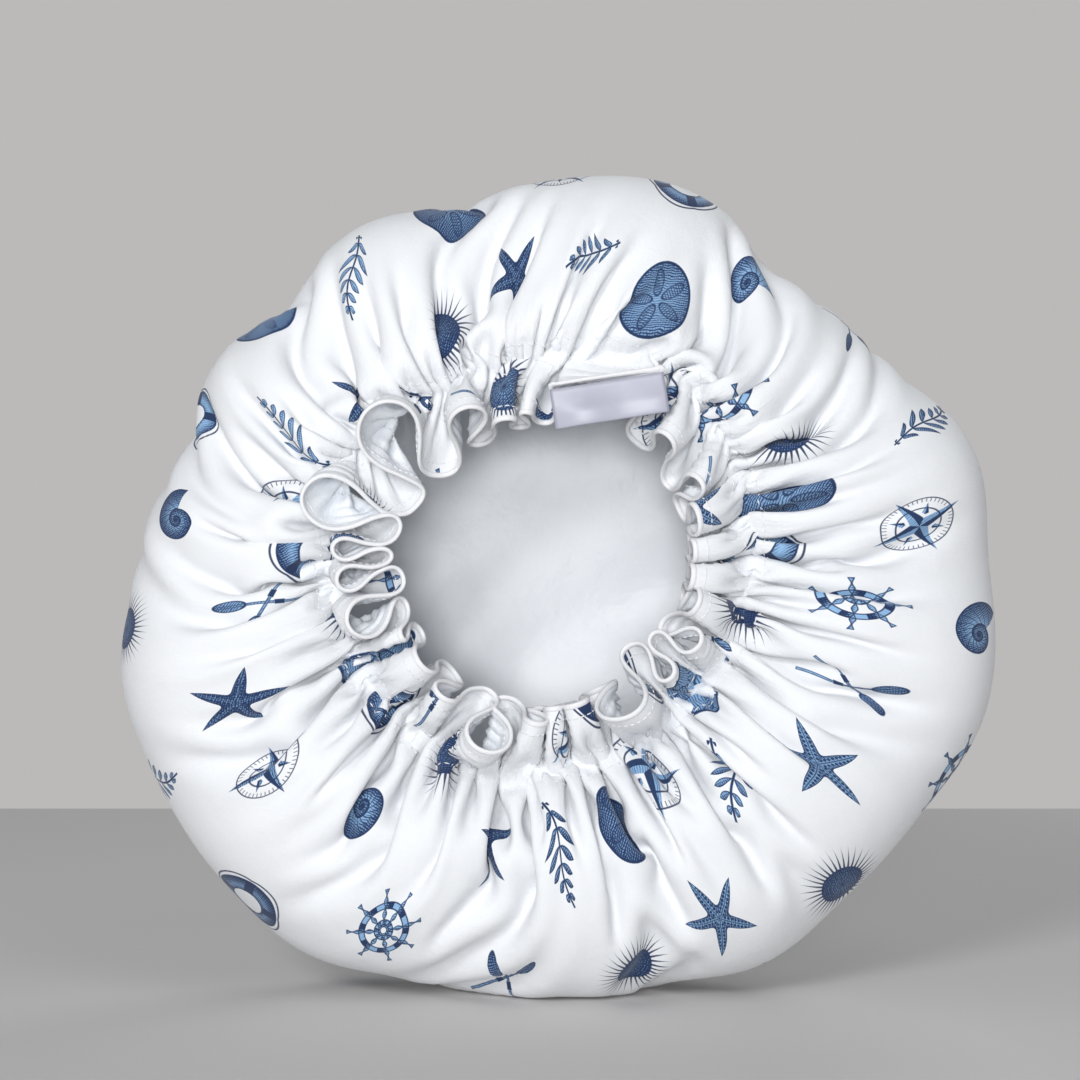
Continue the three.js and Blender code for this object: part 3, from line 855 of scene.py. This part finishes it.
class Field:
    """A value that varies over the surface, reckoned with Math nodes in one node tree."""

    def __init__(self, tree, socket):
        self.tree, self.socket = tree, socket

    def reckon(self, operation, *others):
        node = self.tree.nodes.new("ShaderNodeMath")
        node.operation = operation
        for slot, value in enumerate((self, *others)):
            if isinstance(value, Field):
                self.tree.links.new(value.socket, node.inputs[slot])
            else:
                node.inputs[slot].default_value = value
        return Field(self.tree, node.outputs[0])

    def __rsub__(self, other):
        return (self * -1.0).reckon("ADD", other)

    def kept(self):
        """Held between 0 and 1."""
        return self.least(1.0).most(0.0)

    def inside(self, soft=0.3):
        """1 where a distance is below zero, with an edge as soft as given."""
        return (0.5 - self / soft).kept()

    def line_at(self, half_width, depth=0):
        """A drawn line of that half width, as deep inside the edge of a distance as given."""
        return (abs(self + depth if depth else self) - half_width).inside()

    def wave(self, spacing):
        """Distance from the nearest of evenly spaced lines."""
        return abs((self / spacing).fraction() - 0.5) * spacing


field_methods = {
    "__add__": "ADD", "__radd__": "ADD", "__sub__": "SUBTRACT", "__mul__": "MULTIPLY",
    "__rmul__": "MULTIPLY", "__truediv__": "DIVIDE", "__abs__": "ABSOLUTE", "sin": "SINE",
    "cos": "COSINE", "least": "MINIMUM", "most": "MAXIMUM", "above": "GREATER_THAN",
    "power": "POWER", "fraction": "FRACT", "floor": "FLOOR", "root": "SQRT", "turn": "ARCTAN2",
}
for method, operation in field_methods.items():
    setattr(Field, method, partialmethod(Field.reckon, operation))


def new_group(name, inputs, outputs):
    """A shader node group with inputs and outputs as {socket name: kind}: its tree and its ends."""
    tree = bpy.data.node_groups.new(name, "ShaderNodeTree")
    for label, kind in inputs.items():
        tree.interface.new_socket(name=label, in_out="INPUT", socket_type="NodeSocket" + kind)
    for label, kind in outputs.items():
        tree.interface.new_socket(name=label, in_out="OUTPUT", socket_type="NodeSocket" + kind)
    given = tree.nodes.new("NodeGroupInput")
    made = tree.nodes.new("NodeGroupOutput")
    return tree, given, made


def split_cloth(tree, vector):
    """The two coordinates of the flat cloth, as Fields."""
    node = tree.nodes.new("ShaderNodeSeparateXYZ")
    tree.links.new(vector, node.inputs[0])
    return Field(tree, node.outputs[0]), Field(tree, node.outputs[1])


def joined(tree, x, y, z=0.0):
    node = tree.nodes.new("ShaderNodeCombineXYZ")
    for slot, value in enumerate((x, y, z)):
        if isinstance(value, Field):
            tree.links.new(value.socket, node.inputs[slot])
        else:
            node.inputs[slot].default_value = value
    return node.outputs[0]


def chance_at(tree, x, y, seed):
    """Three even random values for a cell of the cloth."""
    noise = tree.nodes.new("ShaderNodeTexWhiteNoise")
    noise.noise_dimensions = "3D"
    tree.links.new(joined(tree, x, y, seed), noise.inputs["Vector"])
    parts = tree.nodes.new("ShaderNodeSeparateXYZ")
    tree.links.new(noise.outputs["Color"], parts.inputs[0])
    return [Field(tree, parts.outputs[slot]) for slot in range(3)]


def noise_at(tree, vector, scale, detail=2.0, rough=0.5):
    noise = tree.nodes.new("ShaderNodeTexNoise")
    set_inputs(noise, Scale=scale, Detail=detail, Roughness=rough)
    tree.links.new(vector, noise.inputs["Vector"])
    return Field(tree, noise.outputs["Fac"])


class Motif:
    """Coordinates of one printed motif, in millimetres from its middle."""

    def __init__(self, x, y):
        self.x, self.y = x, y
        self.r = (x * x + y * y).root()
        self.turns = y.turn(x) / full_turn + 0.5

    def sector(self, count, start=0.0):
        """Coordinates along and across the middle of each of several equal sectors."""
        share = (self.turns * count + start).fraction() - 0.5
        swing = share * (full_turn / count)
        return share, self.r * swing.cos(), self.r * swing.sin()


# Each motif gives its wash, its lines and how dark its hatching is. Sizes are in millimetres, and
# every d is a distance from the motif's outline, which is below zero inside it.
def starfish(m):
    core, arm_length, dots_aside = 5.5, 13.0, 1.1
    share, u, v = m.sector(5)
    d = m.r - (core + (1 - abs(share) * 2).power(2.4) * arm_length)
    dots = (u.wave(1.7) + abs(abs(v) - dots_aside) - 0.75).inside(0.3)
    line = d.line_at(0.4, 0.45).most(v.line_at(0.22)).most(dots)
    return d.inside(), line * d.inside(), 0.25 + abs(v) / 5


def sand_dollar(m):
    radius, petal_out, petal_half, petal_wide, rays_to = 15.5, 7.5, 5.2, 2.3, 13.2
    _, u, v = m.sector(5)
    d = m.r - radius
    petal = (((u - petal_out) / petal_half).power(2.0) + (v / petal_wide) * (v / petal_wide)) - 1
    line = d.line_at(0.5, 0.6).most(petal.line_at(0.22))
    line = line.most(petal.inside() * (u.wave(1.1) - 0.2).inside())
    line = line.most(m.sector(30)[2].line_at(0.2) * (rays_to - m.r).inside())
    return d.inside(), line * d.inside(), 0.15 + m.r / 45


def ship_wheel(m):
    rim_radius, rim_half, hub_radius, hub_half = 10.5, 1.6, 3.4, 1.3
    spoke_out, spoke_half = 9.5, 8.2
    _, u, v = m.sector(8)
    rim, hub = abs(m.r - rim_radius) - rim_half, abs(m.r - hub_radius) - hub_half
    grip = abs(v) - (0.75 + 0.4 * (u * 1.15).sin())
    spoke = grip.most(abs(u - spoke_out) - spoke_half)
    line = rim.line_at(0.28, 0.3).most(hub.line_at(0.28, 0.3)).most(spoke.line_at(0.22, 0.25))
    return rim.least(hub).least(spoke).inside(), line, 0.3 + v / 3


def compass_rose(m):
    long_reach, short_reach, inner_ring, outer_ring, tick_ring = 18.5, 12, 9.2, 14.6, 13.4
    _, u, v = m.sector(4)
    _, su, sv = m.sector(4, 0.5)
    long_star = abs(v) - (long_reach - u) * 0.19
    short_star = (abs(sv) - (short_reach - su) * 0.26).most(1.5 - long_star)
    rings = (abs(m.r - inner_ring) - 0.35).least(abs(m.r - outer_ring) - 0.3)
    ticks = (abs(m.sector(48)[2]) - 0.18).most(abs(m.r - tick_ring) - 0.9)
    line = v.above(0.0) * long_star.inside() + sv.above(0.0) * short_star.inside()
    line = line.most(rings.inside()).most(ticks.inside())
    return long_star.least(short_star).inside(), line, 0.22 + m.r * 0


def sea_urchin(m):
    body_radius, spine_root, spine_reach = 9.0, 8.5, 17.5
    _, u, v = m.sector(34)
    body = m.r - body_radius
    spine = abs(v) - (spine_reach - u) * 0.055
    line = spine.inside(0.25) * (spine_root - m.r).inside()
    line = line.most(body.inside() * m.sector(17)[2].line_at(0.2))
    line = line.most(body.inside() * (m.r.wave(1.5) - 0.16).inside())
    return body.inside(), line, 0.3 + m.r / 20


def nautilus(m):
    reach, growth = 18, 3.0  # the last whorl's radius, and how much a turn widens it
    t = m.turns
    d = m.r - reach * ((t - 1) * math.log(growth)).reckon("EXPONENT")
    between_whorls = ((m.r / reach).reckon("LOGARITHM", growth) - t).fraction()
    near = between_whorls.least(1 - between_whorls) * m.r * 1.1
    septum = ((t + between_whorls * 0.12) * 15).wave(1.0) * m.r * 0.42
    line = (septum - 0.22).inside() * (between_whorls - 0.97).inside(0.02)
    line = (near - 0.4).inside().most(line).most(d.line_at(0.35, 0.4))
    return d.inside(), line * d.inside(), 0.12 + between_whorls * 0.75


def kelp_sprig(m):
    spacing, leaf_reach, leaf_half, leaves_to, stem_to = 5.4, 9.5, 1.75, 17.5, 18.5
    reach = abs(m.x + 1.7 * (m.y / 5.5).sin())
    room = leaf_reach * (1 - abs(m.y) / 21)
    v = (((m.y - reach * 0.85) / spacing).fraction() - 0.5) * spacing
    width = ((reach / room.most(0.5)).kept() * math.pi).sin() * leaf_half
    leaf = (abs(v) - width).most(abs(m.y) - leaves_to)
    stem = (reach - 0.45).most(abs(m.y) - stem_to).inside()
    line = leaf.line_at(0.26, 0.3) * (reach - room).inside()
    rib = v.line_at(0.14) * leaf.inside() * (reach - room + 0.3).inside()
    wash = (leaf.inside() * (0.4 - width).inside()).most(stem)
    return wash, line.most(stem).most(rib), 0.3 + v / 6


def life_ring(m):
    radius, half, rope_radius, tape_half = 10.5, 3.7, 15.0, 2.3
    _, _, v = m.sector(4, 0.5)
    d = abs(m.r - radius) - half
    rope = abs(m.r - rope_radius - 1.1 * abs((m.turns * full_turn * 2).sin())) - 0.4
    line = d.line_at(0.3, 0.35).most(d.inside() * v.line_at(tape_half)).most(rope.inside())
    return d.inside(), line, 0.12 + abs(m.r - 9.3) / 7


def crossed_oars(m):
    lean_way, shaft_half, shaft_to, blade_at = 0.55, 0.6, 18.5, 12.5
    blade_wide, blade_half, collar_half, collar_at = 2.5, 6.2, 0.95, -4
    oars = []
    for turn_now in (lean_way, -lean_way):
        c, s = math.cos(turn_now), math.sin(turn_now)
        p, q = m.x * c - m.y * s, m.x * s + m.y * c
        along = (q - blade_at) / blade_half
        shaft = (abs(p) - shaft_half).most(abs(q) - shaft_to)
        blade = ((p / blade_wide).power(2.0) + along * along) - 1
        collar = (abs(p) - collar_half).most(abs(q - collar_at) - 1.6).inside()
        drawn = (abs(blade + 0.16) - 0.15).inside(0.15).most(collar).most(shaft.line_at(0.16, 0.2))
        oars.append((shaft.inside().most(blade.inside(0.2)).most(collar), drawn))
    return oars[0][0].most(oars[1][0]), oars[0][1].most(oars[1][1]), 0.35 + m.y / 60


drawings = [
    starfish, nautilus, kelp_sprig, ship_wheel, sand_dollar, crossed_oars, compass_rose,
    sea_urchin, life_ring,
]


def sea_print_group():
    """Scattered sea motifs drawn like engravings: a wash of blue under dark hatched lines."""
    tree, given, made = new_group(
        "sea_print", {"Cloth": "Vector"}, {"Wash": "Float", "Line": "Float", "Tone": "Float"}
    )
    x, y = split_cloth(tree, given.outputs["Cloth"])
    wide, high = 62.0, 54.0  # of one motif's cell
    stray_aside, stray_aloft = 14, 10
    row = (y / high).floor()
    x = x + (row * 0.5).fraction() * wide
    column = (x / wide).floor()
    aside, aloft, turned = chance_at(tree, column, row, 3.0)
    size, _, depth = chance_at(tree, column, row, 8.0)
    which = ((column * 2 + row * 5) / len(drawings) + 0.05).fraction()
    px = ((x / wide).fraction() - 0.5) * wide - (aside - 0.5) * stray_aside
    py = ((y / high).fraction() - 0.5) * high - (aloft - 0.5) * stray_aloft
    swing = turned * full_turn
    scale = 0.95 + size * 0.2
    c, s = swing.cos(), swing.sin()
    m = Motif((px * c - py * s) / scale, (px * s + py * c) / scale)
    index = (which * len(drawings)).floor()
    chosen = []
    for number, drawing in enumerate(drawings):
        here = (0.5 - abs(index - number)).above(0.0)
        chosen.append([part * here for part in drawing(m)])
    wash, line, tone = (sum(parts[1:], parts[0]) for parts in zip(*chosen))
    wobble = noise_at(tree, joined(tree, px, py), 0.22) * 2.4
    tone = (tone + (depth - 0.35) * 0.4).kept()
    hatch = ((px * 0.64 + py * 0.77 + wobble).wave(0.95) - tone * 0.46).inside(0.2)
    cross = ((px * 0.8 - py * 0.6 + wobble).wave(1.1) - (tone - 0.35) * 0.6).inside(0.2)
    line = line.most(hatch.most(cross) * wash).kept()
    tree.links.new(wash.kept().socket, made.inputs["Wash"])
    tree.links.new(line.socket, made.inputs["Line"])
    tree.links.new(tone.kept().socket, made.inputs["Tone"])
    return tree


def cloth_surface_group():
    """Height of a cloth's surface: its weave, small crumples, and fine creases at the gathers."""
    tree, given, made = new_group(
        "cloth_surface",
        {"Cloth": "Vector", "Weave": "Float", "Crumple": "Float", "Gather": "Float"},
        {"Height": "Float", "Speckle": "Float"},
    )
    cloth = given.outputs["Cloth"]
    weave, crumple, gather = (Field(tree, given.outputs[k]) for k in ("Weave", "Crumple", "Gather"))
    x, y = split_cloth(tree, cloth)
    r = (x * x + y * y).root()
    angle = y.turn(x)
    warp = noise_at(tree, joined(tree, x * 1.9, y * 0.3), 1.0, 2.0, 0.6)
    weft = noise_at(tree, joined(tree, x * 0.3, y * 1.9), 1.0, 2.0, 0.6)
    speckle = noise_at(tree, cloth, 1.1, 3.0, 0.7)
    coarse = noise_at(tree, cloth, 0.075, 4.0, 0.55)
    gather_reach = 34  # how far from the channel the gathers' fine creases run
    near = (1 - abs(r - (disc_radius - channel_inset)) / gather_reach).kept()
    rays = noise_at(tree, joined(tree, angle * 110, r * 0.06), 1.0, 4.0, 0.62)
    creased = noise_at(tree, cloth, 0.24, 3.0, 0.6)
    height = (warp + weft + speckle * 1.4) * weave + coarse * 9 * crumple
    height = height + (rays * 17 + creased * 11) * near * gather
    tree.links.new(height.socket, made.inputs["Height"])
    tree.links.new(speckle.socket, made.inputs["Speckle"])
    return tree


def new_material(name):
    material = bpy.data.materials.new(name)
    material.use_nodes = True
    return material, material.node_tree, material.node_tree.nodes["Principled BSDF"]


def placed_group(tree, group, **values):
    node = tree.nodes.new("ShaderNodeGroup")
    node.node_tree = group
    for label, value in values.items():
        if isinstance(value, bpy.types.NodeSocket):
            tree.links.new(value, node.inputs[label])
        else:
            node.inputs[label].default_value = value
    return node


def flat_cloth_mm(tree):
    """The flat cloth's coordinates in millimetres from the disc's middle, from the UV map."""
    uv = tree.nodes.new("ShaderNodeUVMap")
    uv.uv_map = "flat_cloth"
    place = tree.nodes.new("ShaderNodeMapping")
    middle = -map_width / 2
    set_inputs(place, Location=(middle, middle, 0), Scale=(map_width, map_width, 1))
    tree.links.new(uv.outputs["UV"], place.inputs["Vector"])
    return place.outputs["Vector"]


def bumped(tree, shader, height, strength, distance):
    bump = tree.nodes.new("ShaderNodeBump")
    set_inputs(bump, Strength=strength, Distance=distance)
    tree.links.new(height, bump.inputs["Height"])
    tree.links.new(bump.outputs["Normal"], shader.inputs["Normal"])


def blended(tree, share, low, high):
    """A colour between two; each is a colour or a socket."""
    mix = tree.nodes.new("ShaderNodeMix")
    mix.data_type = "RGBA"
    tree.links.new(share, mix.inputs[0])
    for value, socket in ((low, mix.inputs[6]), (high, mix.inputs[7])):
        if isinstance(value, bpy.types.NodeSocket):
            tree.links.new(value, socket)
        else:
            socket.default_value = (*value, 1)
    return mix.outputs[2]


# Colours, each as a pair that a texture blends between
cotton_white = ((0.755, 0.775, 0.8), (0.83, 0.845, 0.87))
print_blue = ((0.2, 0.42, 0.7), (0.035, 0.13, 0.34))
print_ink = (0.006, 0.022, 0.085)
lining_white = ((0.84, 0.875, 0.92), (0.88, 0.9, 0.935))
satin_grey = ((0.33, 0.33, 0.42), (0.43, 0.435, 0.52))


def printed_cotton(surface):
    material, tree, shader = new_material("printed_cotton")
    cloth = flat_cloth_mm(tree)
    drawing = placed_group(tree, sea_print_group(), Cloth=cloth)
    finish = placed_group(tree, surface, Cloth=cloth, Weave=1.0, Crumple=1.0, Gather=1.0)
    ground = blended(tree, finish.outputs["Speckle"], *cotton_white)
    wash = blended(tree, drawing.outputs["Tone"], *print_blue)
    thin = Field(tree, drawing.outputs["Wash"]) * 0.88
    dark = Field(tree, drawing.outputs["Line"]) * 0.96
    colour = blended(tree, thin.socket, ground, wash)
    colour = blended(tree, dark.socket, colour, print_ink)
    tree.links.new(colour, shader.inputs["Base Color"])
    set_inputs(shader, Roughness=0.82, Specular_IOR_Level=0.3, Sheen_Weight=0.12)
    set_inputs(shader, Sheen_Roughness=0.5)
    bumped(tree, shader, finish.outputs["Height"], 0.5, 0.1 * mm)
    return material


def smooth_lining(surface):
    material, tree, shader = new_material("waterproof_lining")
    cloth = flat_cloth_mm(tree)
    finish = placed_group(tree, surface, Cloth=cloth, Weave=0.12, Crumple=1.6, Gather=0.8)
    tint = noise_at(tree, cloth, 0.02, 2.0)
    colour = blended(tree, tint.socket, *lining_white)
    tree.links.new(colour, shader.inputs["Base Color"])
    set_inputs(shader, Roughness=0.45, Specular_IOR_Level=0.4)
    bumped(tree, shader, finish.outputs["Height"], 0.5, 0.12 * mm)
    return material


def plain_yarn(name, colour_low, colour_high, scale, rough, grain_height):
    """Spun yarn or webbing, with a fine grain on Object coordinates."""
    material, tree, shader = new_material(name)
    place = tree.nodes.new("ShaderNodeTexCoord")
    grain = noise_at(tree, place.outputs["Object"], scale, 4.0, 0.65)
    colour = blended(tree, grain.socket, colour_low, colour_high)
    tree.links.new(colour, shader.inputs["Base Color"])
    set_inputs(shader, Roughness=rough)
    bumped(tree, shader, grain.socket, 0.6, grain_height * mm)
    return material


def satin_tape():
    material, tree, shader = new_material("satin_tape")
    uv = tree.nodes.new("ShaderNodeUVMap")
    uv.uv_map = "flat_cloth"
    x, y = split_cloth(tree, uv.outputs["UV"])
    x, y = (x - 0.5) * label_map_width, y * label_map_width
    warp_spacing, weft_spacing, selvage_width = 0.45, 0.7, 0.9
    warp = (x + noise_at(tree, uv.outputs["UV"], 9.0) * 0.4).wave(warp_spacing)
    height = warp * 1.4 + y.wave(weft_spacing) * 0.5
    selvage = (abs(x) - label_width / 2 + selvage_width).inside(0.4)
    tone = (noise_at(tree, uv.outputs["UV"], 7.0) * 0.6 + selvage * 0.4).kept()
    colour = blended(tree, tone.socket, *satin_grey)
    tree.links.new(colour, shader.inputs["Base Color"])
    set_inputs(shader, Roughness=0.36, Specular_IOR_Level=0.55, Sheen_Weight=0.1)
    bumped(tree, shader, height.socket, 0.35, 0.08 * mm)
    return material


cap = FinishedCap()
surface = cloth_surface_group()
cotton, lining_cloth = printed_cotton(surface), smooth_lining(surface)
# Yarns: two colours, scale of the grain, roughness, and height of the grain in millimetres
yarns = {
    "cotton_thread": ((0.7, 0.71, 0.74), (0.85, 0.85, 0.87), 2600, 0.8, 0.05),
    "elastic_webbing": ((0.72, 0.72, 0.72), (0.84, 0.84, 0.84), 1400, 0.9, 0.1),
    "turned_cotton": ((0.74, 0.75, 0.78), (0.84, 0.845, 0.86), 900, 0.82, 0.06),
}
thread, webbing, rolled = (plain_yarn(name, *look) for name, look in yarns.items())
satin = satin_tape()

shell = sheet_of_cloth("printed_shell", cap, 1, cotton)
inner = sheet_of_cloth("smooth_lining", cap, -1, lining_cloth)
roll = rolled_edge(cap, rolled)
elastic = elastic_band(cap, webbing)
label = folded_label(satin)
rows_sewn = {
    "channel_stitches_outer": disc_radius - channel_inset - channel_half_width,
    "channel_stitches_inner": disc_radius - channel_inset + channel_half_width,
    "edge_stitches": disc_radius - edge_stitch_inset,
}
threads = []
for row_name, radius in rows_sewn.items():
    threads.append(stitch_row(row_name, cap, radius, 1, thread))
    threads.append(stitch_row(row_name + "_lining", cap, radius, -1, thread))

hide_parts("outer_shell")
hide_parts("lining")
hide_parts("elastic_band")
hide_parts("label")
finishes = [
    (shell, "printed_cotton"), (roll, "printed_cotton"), (inner, "waterproof_lining"),
    (elastic, "elastic_webbing"), (label, "satin_tape"),
]
finishes += [(piece, "printed_cotton") for piece in threads]


def pale_floor():
    """A pale, even floor that ends a little way behind the cap."""
    floor_width, floor_length, floor_end = 5.0, 3.1, 0.6  # in metres
    floor = bmesh.new()
    bmesh.ops.create_grid(floor, x_segments=1, y_segments=1, size=1.0)
    bmesh.ops.scale(floor, verts=floor.verts, vec=(floor_width / 2, floor_length / 2, 1))
    middle = floor_end - floor_length / 2
    bmesh.ops.translate(floor, verts=floor.verts, vec=(0, middle, 0))
    plane = add_object("pale_floor", finished_mesh("pale_floor", floor))
    material, _, shader = new_material("pale_floor")
    set_inputs(shader, Base_Color=(0.66, 0.645, 0.635, 1), Roughness=0.9)
    plane.data.materials.append(material)


def studio_air():
    """Even light from all round, with a plain grey wall colour where the camera looks past it."""
    world = bpy.data.worlds.new("studio")
    world.use_nodes = True
    tree = world.node_tree
    air = tree.nodes["Background"]
    set_inputs(air, Color=(0.95, 0.97, 1.0, 1), Strength=0.26)
    wall = tree.nodes.new("ShaderNodeBackground")
    set_inputs(wall, Color=(0.5, 0.488, 0.485, 1))
    seen = tree.nodes.new("ShaderNodeLightPath")
    mix = tree.nodes.new("ShaderNodeMixShader")
    tree.links.new(seen.outputs["Is Camera Ray"], mix.inputs["Fac"])
    tree.links.new(air.outputs["Background"], mix.inputs[1])
    tree.links.new(wall.outputs["Background"], mix.inputs[2])
    tree.links.new(mix.outputs["Shader"], tree.nodes["World Output"].inputs["Surface"])
    return world


def soft_lamp(name, place, size, power, colour=(1, 1, 1)):
    """A round lamp that points at the cap; place and size in metres, power in watts."""
    cap_middle = (0, 0, 0.15)
    lamp = bpy.data.lights.new(name, "AREA")
    lamp.shape = "DISK"
    lamp.size, lamp.energy, lamp.color = size, power, colour
    holder = add_object(name, lamp)
    holder.location = place
    holder.rotation_euler = (Vector(cap_middle) - Vector(place)).to_track_quat("-Z", "Y").to_euler()


pale_floor()
soft_lamp("key_lamp", (-0.6, -1.55, 0.85), 0.5, 11.5)
soft_lamp("low_front_lamp", (-0.08, -1.95, 0.24), 0.5, 19)
soft_lamp("top_lamp", (0.5, -0.9, 1.5), 0.8, 2, (0.96, 0.98, 1.0))
soft_lamp("back_lamp", (0.7, 1.5, 1.2), 0.9, 7)
scene = bpy.context.scene
scene.world = studio_air()
scene.view_settings.view_transform = "Standard"

camera = bpy.data.cameras.new("camera")
camera.lens, camera.sensor_width = 82, 36
eye = add_object("camera", camera)
eye.location = (-0.0071, -0.893, 0.163)
eye.rotation_euler = (math.pi / 2, 0, 0)
scene.camera = eye
